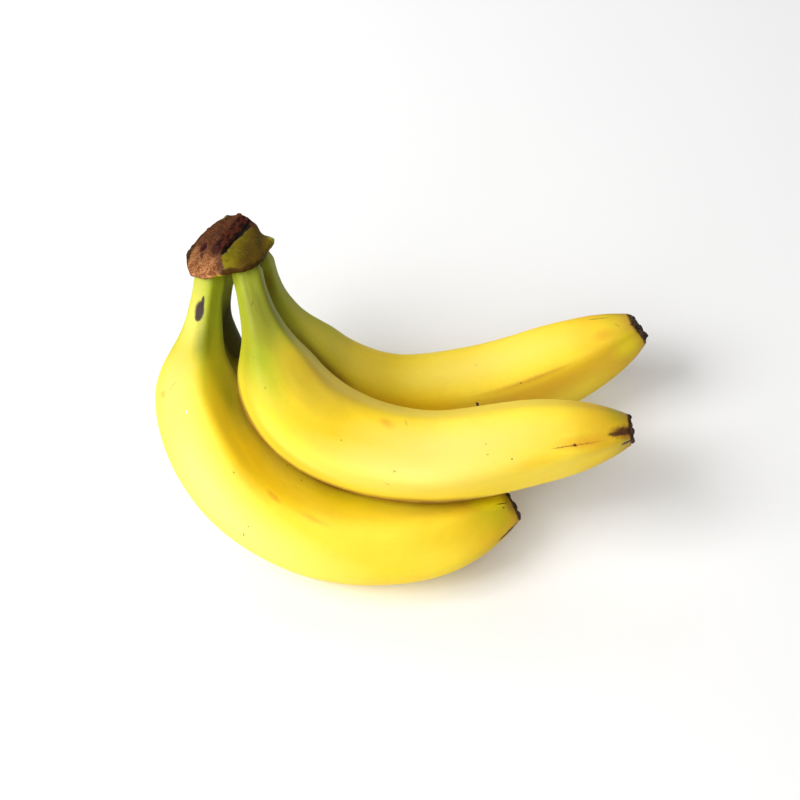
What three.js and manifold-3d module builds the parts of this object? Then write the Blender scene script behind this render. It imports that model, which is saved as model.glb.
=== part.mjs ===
// A bunch of four ripe bananas as picked. Four five-ridged fingers hang from one severed crown, and each
// ends in the dried remains of its flower. The bunch lies on a table, on the bellies of the left banana,
// the rear one and the one under the middle.
//
// Frame: millimetres, +Z up, table at z = 0. +X runs from the crown to the fingertips, and the middle
// banana faces -Y. The origin is on the table under the middle of the bunch.
import * as THREE from "three";
import { ConvexGeometry } from "three/addons/geometries/ConvexGeometry.js";
import { mergeVertices } from "three/addons/utils/BufferGeometryUtils.js";
import Module from "manifold-3d";

const wasm = await Module();
wasm.setup();

// Driving dimensions.
const BELLY_RADIUS = 17.8; // from the centre to a flat side, at the widest section
const JOINT_GAP = 0.3; // clearance between pieces that touch
const TABLE_WIDTH = 400;
const TABLE_DEPTH = 60;

// A finger's section has five nearly flat sides that meet in soft ridges.
const RIDGES = 5;
const RIDGE_POWER = 8; // higher is sharper
const SIDES = 20;
const STEPS_PER_STATION = 4;
const SLANT_START = 0.85; // share of the length where the blossom end begins to lean
const FLARE_START = 0.88; // share of the length where the blossom end begins to widen

// Girth of a finger, from the neck to the blossom end: [share of its length, share of the belly radius].
const GIRTH = [
  [0, 0.34],
  [0.07, 0.32],
  [0.15, 0.465],
  [0.24, 0.87],
  [0.34, 1.01],
  [0.46, 1.01],
  [0.6, 0.985],
  [0.72, 0.955],
  [0.82, 0.9],
  [0.9, 0.76],
  [0.96, 0.55],
  [1, 0.34],
];

// Each finger: seven points of its centre line, from the crown to the blossom end, the fourth of them at
// the bend; its girth against the others, and where one ridge runs, in degrees from the outer side of the
// bend, both at the neck and at the blossom end; the slant of the blossom end: how far the end face leans
// per unit of its radius, and the angle at which it reaches furthest; and the flare of the blossom end: how
// wide it is against what the girths give.
const FINGERS = [
  {
    name: "left",
    spine: [
      [-76.8, 31, 101], [-80.8, 21, 81], [-83.4, 0, 57], [-66, -26, 33],
      [-33, -41.7, 20], [7.5, -40.8, 16.9], [41.2, -29.5, 23.2],
    ],
    girth: [0.995, 0.995],
    ridge: [258, 236],
    slant: [0.1, 350],
    flare: 1.04,
  },
  {
    name: "middle",
    spine: [
      [-64.5, 33, 102.5], [-57.6, 13, 87], [-46, -9.2, 68], [-24.5, -19.2, 54.8],
      [8.5, -24, 50], [52.5, -20, 55.2], [85.7, -18, 59.1],
    ],
    girth: [0.985, 0.95],
    ridge: [295, 292],
    slant: [0, 0],
    flare: 1,
  },
  {
    name: "rear",
    spine: [
      [-61, 43, 97], [-53.3, 30.8, 74.3], [-35.5, 20.6, 43.2], [-7.5, 24.6, 22.6],
      [29.5, 34, 18.8], [62.5, 42, 26.2], [95.3, 48.4, 42.4],
    ],
    girth: [1.005, 1.02],
    ridge: [232, 243],
    slant: [0.13, 330],
    flare: 1.06,
  },
  {
    name: "under",
    spine: [
      [-71.6, 42, 93], [-79.8, 37, 61], [-78.8, 27.5, 36.5], [-60.5, 9.5, 18.5],
      [-34.5, -7.3, 15.2], [-2.5, -9.9, 17.2], [29.5, 4.3, 34.1],
    ],
    girth: [0.81, 0.81],
    ridge: [250, 250],
    slant: [0, 0],
    flare: 1,
  },
];

// The crown is the cushion that the necks grew from, cut off its stalk: its corners and how round they are.
const CROWN_ROUND = 1.2;
const CROWN_CORNERS = [
  [-71.5, 26, 110],
  [-70, 21.5, 106],
  [-78.5, 21, 104],
  [-84, 26.2, 100.1],
  [-86, 34.5, 97],
  [-86.5, 40, 96],
  [-81.5, 46, 99.5],
  [-76, 54.7, 98],
  [-71.5, 59.5, 96.6],
  [-67.2, 59.5, 97.2],
  [-62.2, 54, 100.2],
  [-59.5, 49, 98],
  [-57.5, 41, 100],
  [-57.5, 29, 105],
  [-61.5, 23.5, 107],
  [-83.5, 47, 84],
  [-78.5, 56, 85],
  [-66.5, 60.8, 87],
  [-58.5, 54, 88],
  [-59.5, 46, 89],
  [-77.5, 44, 84],
];
// A pointed lip of rind stands out of the crown over the rear neck.
const LIP_CORNERS = [
  [-53.7, 45.5, 99.3],
  [-60.5, 49, 98],
  [-58.5, 41, 101],
  [-57.5, 30, 104.5],
  [-61.5, 39, 98],
  [-60.5, 48, 91],
];

// The dried flower remains: [distance past the finger's end, share of the end's radius].
const BLOSSOM_PROFILE = [
  [0, 0.98],
  [0.4, 1.02],
  [1, 0.96],
  [1.4, 0.74],
  [1.7, 0.4],
];
const BLOSSOM_LOBES = 5;
const BLOSSOM_LOBE_DEPTH = 0.1;

const peel = new THREE.MeshStandardMaterial({ color: 0xe8cf4a, roughness: 0.5, metalness: 0 });
const crownRind = new THREE.MeshStandardMaterial({ color: 0x5f4424, roughness: 0.8, metalness: 0 });
const driedFlower = new THREE.MeshStandardMaterial({ color: 0x33241a, roughness: 0.9, metalness: 0 });

// A closed mesh as a manifold-3d solid, and back.
function toSolid(geometry) {
  geometry.deleteAttribute("normal");
  geometry.deleteAttribute("uv");
  const merged = mergeVertices(geometry, 1e-4);
  const vertProperties = merged.getAttribute("position").array;
  const triVerts = new Uint32Array(merged.getIndex().array);
  return new wasm.Manifold(new wasm.Mesh({ numProp: 3, vertProperties, triVerts }));
}

function toGeometry(solid) {
  const mesh = solid.getMesh();
  const geometry = new THREE.BufferGeometry();
  geometry.setAttribute("position", new THREE.BufferAttribute(mesh.vertProperties, 3));
  geometry.setIndex(new THREE.BufferAttribute(mesh.triVerts, 1));
  return geometry;
}

// A cut can leave scraps: this keeps the largest body.
function largestBody(solid) {
  return solid.decompose().reduce((best, body) => (body.volume() > best.volume() ? body : best));
}

// Joins closed rings of points, all of the same count, into one skin and closes both ends with a fan.
function loft(rings) {
  const sides = rings[0].length;
  const first = rings[0];
  const last = rings[rings.length - 1];
  const middle = (ring) => ring.reduce((sum, p) => sum.add(p), new THREE.Vector3()).divideScalar(sides);
  const points = [...rings.flat(), middle(first), middle(last)];
  const startHub = points.length - 2;
  const endHub = points.length - 1;
  const lastRow = (rings.length - 1) * sides;
  const faces = [];
  for (let j = 0; j < sides; j += 1) {
    const k = (j + 1) % sides;
    faces.push(startHub, k, j, endHub, lastRow + j, lastRow + k);
    for (let i = 0; i < rings.length - 1; i += 1) {
      const here = i * sides;
      const next = here + sides;
      faces.push(here + j, here + k, next + j, here + k, next + k, next + j);
    }
  }
  const geometry = new THREE.BufferGeometry().setFromPoints(points);
  geometry.setIndex(faces);
  return geometry;
}

// Gives a finger's centre line as a frame at any share of its length: where it is, which way it runs,
// the way to the outer side of the bend, and the way across the bend.
function spineOf(points) {
  const corners = points.map((p) => new THREE.Vector3(...p));
  const curve = new THREE.CatmullRomCurve3(corners, false, "catmullrom", 0.5);
  const toBend = corners[3].clone().sub(corners[0]);
  const toTip = corners[6].clone().sub(corners[0]);
  const bendAxis = toBend.cross(toTip).normalize();
  return (share) => {
    const centre = curve.getPointAt(share);
    const tangent = curve.getTangentAt(share);
    const outward = tangent.clone().cross(bendAxis).normalize();
    const sideways = tangent.clone().cross(outward);
    return { centre, tangent, outward, sideways };
  };
}

// The point at an angle from the outer side of the bend and a distance from the centre line, moved along
// the line by the slant.
function pointAround({ centre, tangent, outward, sideways }, angle, radius, [lean, leanAngle]) {
  return centre
    .clone()
    .addScaledVector(outward, radius * Math.cos(angle))
    .addScaledVector(sideways, radius * Math.sin(angle))
    .addScaledVector(tangent, radius * lean * Math.cos(angle - leanAngle));
}

// A finger's slant at a share of its length: none along the belly, all of it at the blossom end.
function slantAt(finger, share) {
  const [lean, degrees] = finger.slant;
  return [lean * THREE.MathUtils.smoothstep(share, SLANT_START, 1), THREE.MathUtils.degToRad(degrees)];
}

function girthOf(finger, share) {
  const flare = THREE.MathUtils.lerp(1, finger.flare, THREE.MathUtils.smoothstep(share, FLARE_START, 1));
  return THREE.MathUtils.lerp(...finger.girth, share) * BELLY_RADIUS * flare;
}

// Distance from the centre to the skin at an angle from a ridge, for a flat side at distance 1.
function ridgedRadius(angle) {
  let sum = 0;
  for (let k = 0; k < RIDGES; k += 1) {
    const toFlat = Math.cos(angle - ((k + 0.5) * 2 * Math.PI) / RIDGES);
    sum += Math.max(0, toFlat) ** RIDGE_POWER;
  }
  return sum ** (-1 / RIDGE_POWER);
}

// A closed ring of points, whose radius depends on the angle from its first point.
function ring(frame, turn, slant, radiusAt) {
  return Array.from({ length: SIDES }, (_, j) => {
    const angle = (j * 2 * Math.PI) / SIDES;
    return pointAround(frame, turn + angle, radiusAt(angle), slant);
  });
}

function fingerRings(finger, frameAt) {
  const stations = GIRTH.map(([share, radius]) => new THREE.Vector2(share, radius));
  const steps = new THREE.SplineCurve(stations).getPoints((GIRTH.length - 1) * STEPS_PER_STATION);
  const [neckTurn, tipTurn] = finger.ridge.map(THREE.MathUtils.degToRad);
  return steps.map(({ x: share, y: radius }) => {
    const turn = THREE.MathUtils.lerp(neckTurn, tipTurn, THREE.MathUtils.smoothstep(share, 0.3, 0.7));
    const toFlat = radius * girthOf(finger, share);
    const frame = frameAt(THREE.MathUtils.clamp(share, 0, 1));
    return ring(frame, turn, slantAt(finger, share), (angle) => toFlat * ridgedRadius(angle));
  });
}

function blossomRings(finger, frameAt) {
  const end = frameAt(1);
  const endRadius = GIRTH[GIRTH.length - 1][1] * girthOf(finger, 1);
  return BLOSSOM_PROFILE.map(([past, radius]) => {
    const centre = end.centre.clone().addScaledVector(end.tangent, past + JOINT_GAP);
    const lobed = (angle) => 1 + BLOSSOM_LOBE_DEPTH * Math.cos(BLOSSOM_LOBES * angle);
    return ring({ ...end, centre }, 0, slantAt(finger, 1), (angle) => endRadius * radius * lobed(angle));
  });
}

// The hull of balls at the corners.
function roundedHull(corners, radius) {
  const rounding = new THREE.IcosahedronGeometry(radius, 1).getAttribute("position");
  const points = corners.flatMap((corner) =>
    Array.from({ length: rounding.count }, (_, i) =>
      new THREE.Vector3().fromBufferAttribute(rounding, i).add(new THREE.Vector3(...corner)),
    ),
  );
  return toSolid(new ConvexGeometry(points));
}

// The crown, or the room it needs when grown by a clearance.
function crownSolid(clearance) {
  const radius = CROWN_ROUND + clearance;
  return roundedHull(CROWN_CORNERS, radius).add(roundedHull(LIP_CORNERS, radius));
}

// The table under the bunch, which presses the bellies flat.
function tableSolid() {
  const slab = new THREE.BoxGeometry(TABLE_WIDTH, TABLE_WIDTH, TABLE_DEPTH);
  slab.translate(0, 0, -TABLE_DEPTH / 2);
  return toSolid(slab);
}

function addMesh(group, name, geometry, material) {
  const mesh = new THREE.Mesh(geometry, material);
  mesh.name = name;
  group.add(mesh);
}

const bunch = new THREE.Group();
addMesh(bunch, "crown", toGeometry(crownSolid(0)), crownRind);

const cutAway = crownSolid(JOINT_GAP).add(tableSolid());
for (const finger of FINGERS) {
  const frameAt = spineOf(finger.spine);
  const untrimmed = toSolid(loft(fingerRings(finger, frameAt)));
  const banana = largestBody(untrimmed.subtract(cutAway));
  addMesh(bunch, `banana_${finger.name}`, toGeometry(banana), peel);
  const blossomEnd = toSolid(loft(blossomRings(finger, frameAt)));
  addMesh(bunch, `blossom_end_${finger.name}`, toGeometry(blossomEnd), driedFlower);
}

export default bunch;
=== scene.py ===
# %% [markdown]
# # A bunch of four bananas
#
# Four ripe fingers grow from one severed crown, and each ends in the dried remains of its flower. The packed
# part already has every piece at its real size, so this lesson loads it first and dresses it: each plain
# solid is replaced by a finer one. A finger's skin follows the same centre line and the same five-ridged
# section as its solid. All lengths are in metres, and a measure written in millimetres is multiplied by MM.

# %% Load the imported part
import math
import random
from bisect import bisect_right
from collections import namedtuple

import bmesh
import bpy
from mathutils import Matrix, Vector, noise
from mathutils.bvhtree import BVHTree
from mathutils.geometry import intersect_point_line, interpolate_bezier


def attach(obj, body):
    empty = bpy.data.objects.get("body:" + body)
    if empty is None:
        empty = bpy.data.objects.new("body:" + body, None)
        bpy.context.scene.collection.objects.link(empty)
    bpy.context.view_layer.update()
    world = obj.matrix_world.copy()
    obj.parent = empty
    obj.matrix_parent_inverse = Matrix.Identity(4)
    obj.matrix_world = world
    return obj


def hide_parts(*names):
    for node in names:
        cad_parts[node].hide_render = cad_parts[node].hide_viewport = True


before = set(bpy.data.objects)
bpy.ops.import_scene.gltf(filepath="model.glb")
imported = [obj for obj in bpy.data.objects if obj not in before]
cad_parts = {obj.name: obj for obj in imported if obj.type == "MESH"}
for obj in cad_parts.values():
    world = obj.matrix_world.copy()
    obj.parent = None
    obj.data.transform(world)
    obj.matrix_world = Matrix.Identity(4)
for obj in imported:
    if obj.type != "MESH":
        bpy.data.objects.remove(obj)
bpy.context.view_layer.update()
MM = 0.001
print("pieces of the part:", sorted(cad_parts))

# %% [markdown]
# ## Camera
#
# A still life of fruit is usually shot with a longer lens from above, so that the near and far ends keep
# their true proportions. A 90 mm lens almost 0.8 m away does that. The camera looks along +Y and down, and
# is aimed with a quaternion made from the viewing direction, which needs no extra target object.

# %% Set the camera
CAMERA_ELEVATION = math.radians(51.4)
CAMERA_AIM = Vector((-3.6, -8.93, 65.9)) * MM
CAMERA_DISTANCE = 780 * MM
LENS = 90
SENSOR = 36
NEAREST_SEEN = 0.05
FURTHEST_SEEN = 50

towards_camera = Vector((0, -math.cos(CAMERA_ELEVATION), math.sin(CAMERA_ELEVATION)))
camera_data = bpy.data.cameras.new("camera")
camera_data.lens = LENS
camera_data.sensor_width = SENSOR
camera_data.clip_start = NEAREST_SEEN
camera_data.clip_end = FURTHEST_SEEN
camera = bpy.data.objects.new("camera", camera_data)
camera.location = CAMERA_AIM + towards_camera * CAMERA_DISTANCE
camera.rotation_mode = "QUATERNION"
camera.rotation_quaternion = (-towards_camera).to_track_quat("-Z", "Y")
bpy.context.scene.collection.objects.link(camera)
bpy.context.scene.camera = camera
print("camera at", [round(value, 3) for value in camera.location])

# %% [markdown]
# ## Node helpers
#
# A procedural finish is a small network of nodes. These helpers add a node, set or join its sockets by
# name, and hand back the socket that the next node needs, so each finish below reads as a recipe. They
# could be clicked together by hand, but a recipe in words is easier to read again and to change.


# %% Add and join nodes
def feed(tree, node, inputs):
    """Sets a node's inputs to values, or joins them to other nodes' sockets."""
    for name, value in inputs.items():
        if isinstance(value, bpy.types.NodeSocket):
            tree.links.new(value, node.inputs[name])
        else:
            node.inputs[name].default_value = value


def add(tree, kind, inputs=None, **settings):
    """A new node of a kind, with its settings and inputs."""
    made = tree.nodes.new("ShaderNode" + kind)
    for name, value in settings.items():
        setattr(made, name, value)
    feed(tree, made, inputs or {})
    return made


def calculate(tree, operation, *values, clamp=False):
    """One step of arithmetic on values and sockets."""
    made = add(tree, "Math", dict(enumerate(values)), operation=operation, use_clamp=clamp)
    return made.outputs[0]


def multiply(tree, first, second):
    """The product of two values or sockets, which is the commonest step."""
    return calculate(tree, "MULTIPLY", first, second)


operations = bpy.types.ShaderNodeMath.bl_rna.properties["operation"].enum_items
print("a Math node knows", len(operations), "operations")


# %% Mix values and colours
def rise(tree, value, low, high):
    """0 where the value is at low, 1 where it is at high, and smooth between them."""
    limits = {"Value": value, "From Min": low, "From Max": high}
    return add(tree, "MapRange", limits, interpolation_type="SMOOTHSTEP").outputs["Result"]


def blend(tree, amount, under, over, how="MIX"):
    """The over colour laid on the under colour by an amount from 0 to 1."""
    made = add(tree, "Mix", {0: amount, 6: under, 7: over}, data_type="RGBA", blend_type=how)
    return made.outputs[2]


def stain(tree, colour, mask, strength, over):
    """The colour with another laid over it where the mask is, as strongly as the strength says."""
    return blend(tree, multiply(tree, mask, strength), colour, over)


def grain(tree, place, scale, detail=2.0, stretch=(1, 1, 1)):
    """Soft random values from 0 to 1, whose spots are about 1/scale metres across."""
    placed = add(tree, "Mapping", {"Vector": place, "Scale": stretch}).outputs[0]
    made = add(tree, "TexNoise", {"Vector": placed, "Scale": scale, "Detail": detail})
    return made.outputs["Fac"]


ways = bpy.types.ShaderNodeMix.bl_rna.properties["blend_type"].enum_items
print("a Mix node can lay one colour on another in", len(ways), "ways")

# %% [markdown]
# Colours are easiest to judge on the 0 to 255 scale of a colour picker, which follows the eye. Light adds
# up on another scale, the linear one, and the shader wants that. One helper converts each value by the
# curve that screens use, which is a straight line for the darkest values.

# %% Pick colours
DARKEST_CURVED = 10
DARK_SLOPE = 3295


def linear_light(value):
    """One of a colour picker's 0 to 255 values as linear light."""
    if value > DARKEST_CURVED:
        return ((value / 255 + 0.055) / 1.055) ** 2.4
    return value / DARK_SLOPE


def paint(red, green, blue):
    """An opaque colour, as a shader takes it."""
    return linear_light(red), linear_light(green), linear_light(blue), 1.0


print("a ripe yellow in linear light:", [round(value, 3) for value in paint(240, 200, 40)])

# %% [markdown]
# ## Marks on the skin
#
# A banana's skin carries small blemishes: scratches, bruises and dots. A picture of them would need an
# image file. Here each one is an ellipse laid on the skin by maths instead. A Mapping node of the Texture
# kind turns a point into the ellipse's own space, where the edge is at distance 1, and a little noise
# makes the edge ragged. One group does this for every mark on every piece, and also for the wide, soft
# patches of painted light and shade on the peel.


# %% Start a node group
def group(name, inputs, outputs):
    """A new node group with named sockets, its inputs' sockets and its output node."""
    tree = bpy.data.node_groups.new(name, "ShaderNodeTree")
    for socket, kind in inputs.items():
        tree.interface.new_socket(socket, in_out="INPUT", socket_type="NodeSocket" + kind)
    for socket, kind in outputs.items():
        tree.interface.new_socket(socket, in_out="OUTPUT", socket_type="NodeSocket" + kind)
    return tree, tree.nodes.new("NodeGroupInput").outputs, tree.nodes.new("NodeGroupOutput")


MARK_INPUTS = {"Place": "Vector", "Centre": "Vector", "Turn": "Vector", "Size": "Vector",
               "Ragged": "Float", "Sharpness": "Float"}
MARK, given, result = group("blemish mark", MARK_INPUTS, {"Mask": "Float"})
print("a mark is told its", ", ".join(MARK_INPUTS))

# %% Build the mark group
MIDDLE_GREY = (0.5, 0.5, 0.5)

wobble = add(MARK, "TexNoise", {"Vector": given["Place"], "Scale": 900.0, "Detail": 3.0})
from_grey = {0: wobble.outputs["Color"], 1: MIDDLE_GREY}
both_ways = add(MARK, "VectorMath", from_grey, operation="SUBTRACT").outputs[0]
moved = add(MARK, "VectorMath", {0: both_ways, "Scale": given["Ragged"]}, operation="SCALE").outputs[0]
place = add(MARK, "VectorMath", {0: given["Place"], 1: moved}, operation="ADD").outputs[0]
ellipse = {"Vector": place, "Location": given["Centre"], "Rotation": given["Turn"], "Scale": given["Size"]}
own_space = add(MARK, "Mapping", ellipse, vector_type="TEXTURE").outputs[0]
distance = add(MARK, "VectorMath", {0: own_space}, operation="LENGTH").outputs["Value"]
inside = calculate(MARK, "SUBTRACT", 1.0, distance)
feed(MARK, result, {"Mask": calculate(MARK, "MULTIPLY", inside, given["Sharpness"], clamp=True)})
print("mark group has", len(MARK.nodes), "nodes")

# %% [markdown]
# ## The centre line of a finger
#
# A banana is a bent cone-ended tube, so its shape is one line with a section swept along it. The line runs
# smoothly through seven corner points. Between two corners a Bezier piece, whose handles point along the
# line from the corner before to the corner after, gives exactly the curve the part was made with. At any
# share of the length a finger then has a place, a direction, a way to the outer side of the bend, and a
# way across it.

# %% Draw a smooth line
LINE_STEPS = 100


def smooth_line(corners, before, after):
    """Points close together on the smooth line through the corners."""
    padded = [before, *corners, after]
    line = [corners[0]]
    for earlier, start, end, later in zip(padded, padded[1:], padded[2:], padded[3:]):
        leaving = start + (end - earlier) / 6
        arriving = end - (later - start) / 6
        line.extend(interpolate_bezier(start, leaving, arriving, end, LINE_STEPS)[1:])
    return line


print("points between two corners:", LINE_STEPS - 2)


# %% Follow the centre line
class Finger:
    """One banana's centre line and girth."""

    def __init__(self, name, spine, girth, ridge, slant=(0, 0), flare=1):
        self.name = name
        self.girth = girth
        self.ridge = [math.radians(turn) for turn in ridge]
        self.flare = flare
        self.lean = slant[0]
        self.lean_angle = math.radians(slant[1])
        corners = [Vector(corner) * MM for corner in spine]
        first = 2 * corners[0] - corners[1]
        last = 2 * corners[-1] - corners[-2]
        self.line = smooth_line(corners, first, last)
        self.lengths = [0.0]
        for start, end in zip(self.line, self.line[1:]):
            self.lengths.append(self.lengths[-1] + (end - start).length)
        self.length = self.lengths[-1]
        to_middle = corners[len(corners) // 2] - corners[0]
        to_end = corners[-1] - corners[0]
        self.bend_axis = to_middle.cross(to_end).normalized()

    def frame_at(self, share):
        """Place, direction, way outward from the bend and way across it, at a share of the length."""
        along = min(max(share, 0.0), 1.0) * self.length
        step = min(max(bisect_right(self.lengths, along) - 1, 1), len(self.line) - 3)
        part = (along - self.lengths[step]) / (self.lengths[step + 1] - self.lengths[step])
        place = self.line[step].lerp(self.line[step + 1], part)
        here = self.line[step + 1] - self.line[step - 1]
        there = self.line[step + 2] - self.line[step]
        direction = here.lerp(there, part).normalized()
        outward = direction.cross(self.bend_axis).normalized()
        return place, direction, outward, direction.cross(outward)


print("points on a finger's line:", 6 * (LINE_STEPS - 1) + 1)

# %% List the fingers
# The bunch's four fingers, as the part has them: the corners of the centre line in millimetres; the girth
# against a common one, and where one ridge runs, in degrees from the outer side of the bend, both at the
# neck and at the end. Some ends also have a slant, which is how far the end leans and the angle at which it
# reaches furthest, and a flare, which is how much wider the end is than the common girth makes it.
FINGERS = [
    Finger("left", [(-76.8, 31, 101), (-80.8, 21, 81), (-83.4, 0, 57), (-66, -26, 33), (-33, -41.7, 20),
                    (7.5, -40.8, 16.9), (41.2, -29.5, 23.2)],
           girth=(0.995, 0.995), ridge=(258, 236), slant=(0.1, 350), flare=1.04),
    Finger("middle", [(-64.5, 33, 102.5), (-57.6, 13, 87), (-46, -9.2, 68), (-24.5, -19.2, 54.8),
                      (8.5, -24, 50), (52.5, -20, 55.2), (85.7, -18, 59.1)],
           girth=(0.985, 0.95), ridge=(295, 292)),
    Finger("rear", [(-61, 43, 97), (-53.3, 30.8, 74.3), (-35.5, 20.6, 43.2), (-7.5, 24.6, 22.6),
                    (29.5, 34, 18.8), (62.5, 42, 26.2), (95.3, 48.4, 42.4)],
           girth=(1.005, 1.02), ridge=(232, 243), slant=(0.13, 330), flare=1.06),
    Finger("under", [(-71.6, 42, 93), (-79.8, 37, 61), (-78.8, 27.5, 36.5), (-60.5, 9.5, 18.5),
                     (-34.5, -7.3, 15.2), (-2.5, -9.9, 17.2), (29.5, 4.3, 34.1)],
           girth=(0.81, 0.81), ridge=(250, 250)),
]
print("length of each finger, mm:", {finger.name: round(finger.length / MM) for finger in FINGERS})

# %% [markdown]
# ## The section
#
# Cut across, a banana is a pentagon with five nearly flat sides and soft ridges. Adding up how far a
# direction leans towards each flat, raised to a power, gives that shape in one formula: a higher power
# makes sharper ridges. The girth table swells the section from the thin neck to the belly and back to the
# blossom end.

# %% Measure the girth
BELLY_RADIUS = 17.8 * MM
FLARE_START = 0.88
# The share of the length, and there the share of the belly's radius.
GIRTH = [(0, 0.34), (0.07, 0.32), (0.15, 0.465), (0.24, 0.87), (0.34, 1.01), (0.46, 1.01), (0.6, 0.985),
         (0.72, 0.955), (0.82, 0.9), (0.9, 0.76), (0.96, 0.55), (1, 0.34)]
girth_corners = [Vector((share, radius, 0)) for share, radius in GIRTH]
girth_line = smooth_line(girth_corners, girth_corners[0], girth_corners[-1])
girth_shares = [point.x for point in girth_line]


def girth_at(share):
    """Share of the belly radius at a share of the length."""
    step = min(max(bisect_right(girth_shares, share) - 1, 0), len(girth_line) - 2)
    start = girth_line[step]
    end = girth_line[step + 1]
    return start.lerp(end, (share - start.x) / (end.x - start.x)).y


def smooth_step(value, low, high):
    """0 where the value is at low, 1 where it is at high, and smooth between them."""
    part = min(max((value - low) / (high - low), 0.0), 1.0)
    return part * part * (3 - 2 * part)


def finger_girth(finger, share):
    """The belly radius that the finger would have, going by its girth and flare at a share."""
    neck, end = finger.girth
    flare = 1 + (finger.flare - 1) * smooth_step(share, FLARE_START, 1)
    return BELLY_RADIUS * (neck + (end - neck) * share) * flare


middle_girths = {finger.name: round(finger_girth(finger, 0.5) * girth_at(0.5) / MM, 1) for finger in FINGERS}
print("radius to a flat, halfway along, mm:", middle_girths)

# %% Round off the section
RIDGES = 5
RIDGE_POWER = 8
SWING_START = 0.3
SWING_END = 0.7
SLANT_START = 0.85


def ridge_turn(finger, share):
    """The angle of the finger's marked ridge, which swings a little along the belly."""
    neck, end = finger.ridge
    return neck + (end - neck) * smooth_step(share, SWING_START, SWING_END)


def ridged(angle):
    """Distance from the centre to the skin at an angle from a ridge, for a flat side at distance 1."""
    leans = [math.cos(angle - (k + 0.5) * math.tau / RIDGES) for k in range(RIDGES)]
    return sum(max(0.0, lean) ** RIDGE_POWER for lean in leans) ** (-1 / RIDGE_POWER)


def skin_radius(finger, share, angle):
    """Distance from the centre line to the skin."""
    flat = finger_girth(finger, share) * girth_at(share)
    return flat * ridged(angle - ridge_turn(finger, share))


def slant(finger, share, angle, radius):
    """How far a point of the skin reaches along the finger because the blossom end leans."""
    return radius * finger.lean * math.cos(angle - finger.lean_angle) * smooth_step(share, SLANT_START, 1)


print("a ridge stands out by", round((ridged(0) / ridged(math.pi / RIDGES) - 1) * 100, 1), "per cent")

# %% [markdown]
# ## The skins
#
# Blender's cone operator makes a straight tube with both ends closed. Cutting its long edges many times
# gives rings, and insetting the two end faces gives each end its own small rings down to a middle point.
# Then every vertex is put in its place on the bent, ridged finger. Bending a finished tube this way keeps
# the mesh a clean closed grid of quads with no seam. Real skin isn't a perfect sweep, so slow noise adds
# shallow dents and small pits, and the neck and blossom end get fine creases.
#
# Each vertex also remembers where it lies on the straightened finger, as attributes. Finishes that read
# them follow the bend, as the fibres of a real peel do.

# %% Cut a tube into rings
SKIN_SIDES = 120
SKIN_RINGS = 250
END_INSETS = 4


def straight_tube(sides, rings):
    """A closed tube of radius 1 from z = 0 to z = 1."""
    tube = bmesh.new()
    upright = Matrix.Translation((0, 0, 0.5))
    bmesh.ops.create_cone(tube, cap_ends=True, segments=sides, radius1=1, radius2=1, depth=1, matrix=upright)
    long_edges = [e for e in tube.edges if abs(e.verts[0].co.z - e.verts[1].co.z) > 0.5]
    bmesh.ops.subdivide_edges(tube, edges=long_edges, cuts=rings)
    ends = [face for face in tube.faces if len(face.verts) == sides]
    inset = 1 / (END_INSETS + 1)
    for face in ends:
        for _ in range(END_INSETS):
            bmesh.ops.inset_region(tube, faces=[face], thickness=inset, use_even_offset=True)
    bmesh.ops.poke(tube, faces=[face for face in tube.faces if len(face.verts) == sides])
    return tube


def finished(shape, name, smooth=True):
    """Turns a bmesh into an object at the origin."""
    bmesh.ops.recalc_face_normals(shape, faces=shape.faces)
    mesh = bpy.data.meshes.new(name)
    shape.to_mesh(mesh)
    shape.free()
    mesh.polygons.foreach_set("use_smooth", [smooth] * len(mesh.polygons))
    made = bpy.data.objects.new(name, mesh)
    bpy.context.scene.collection.objects.link(made)
    return made


print("a skin will have", SKIN_SIDES, "sides and", SKIN_RINGS, "cuts along it")

# %% Let the skin wander
DENT_DEPTH = 0.16 * MM
PIT_DEPTH = 0.05 * MM
CREASE_DEPTH = 0.05 * MM
NECK_CREASES = (0.05, 0.16)
END_CREASES = (0.9, 0.99)


def around_and_along(share, angle, across, along):
    """A point for noise to read, which moves round and along with the skin."""
    return Vector((math.cos(angle) * across, math.sin(angle) * across, share * along))


def wander(finger, share, angle):
    """How far the real skin stands from the perfect sweep."""
    seed = Vector((len(finger.name) * 3.1, finger.girth[0] * 5.0, 0))
    here = around_and_along(share, angle, 2, 9) + seed
    dents = DENT_DEPTH * noise.noise(here)
    pits = PIT_DEPTH * noise.noise(here * 4)
    ends = smooth_step(share, *END_CREASES) + 1 - smooth_step(share, *NECK_CREASES)
    creases = CREASE_DEPTH * ends * noise.noise(around_and_along(share, angle, 4, 6) + seed)
    return dents + pits + creases


print("on its outer side, the left belly stands out by", round(wander(FINGERS[0], 0.5, 0) / MM, 2), "mm")

# %% Shape the skins
# The start of the neck narrows into the crown, over this share of the length and to this share of its width.
HIDDEN_NECK = 0.035
NECK_TOP = 0.6
RIDGE_SHARPNESS = 3


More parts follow.
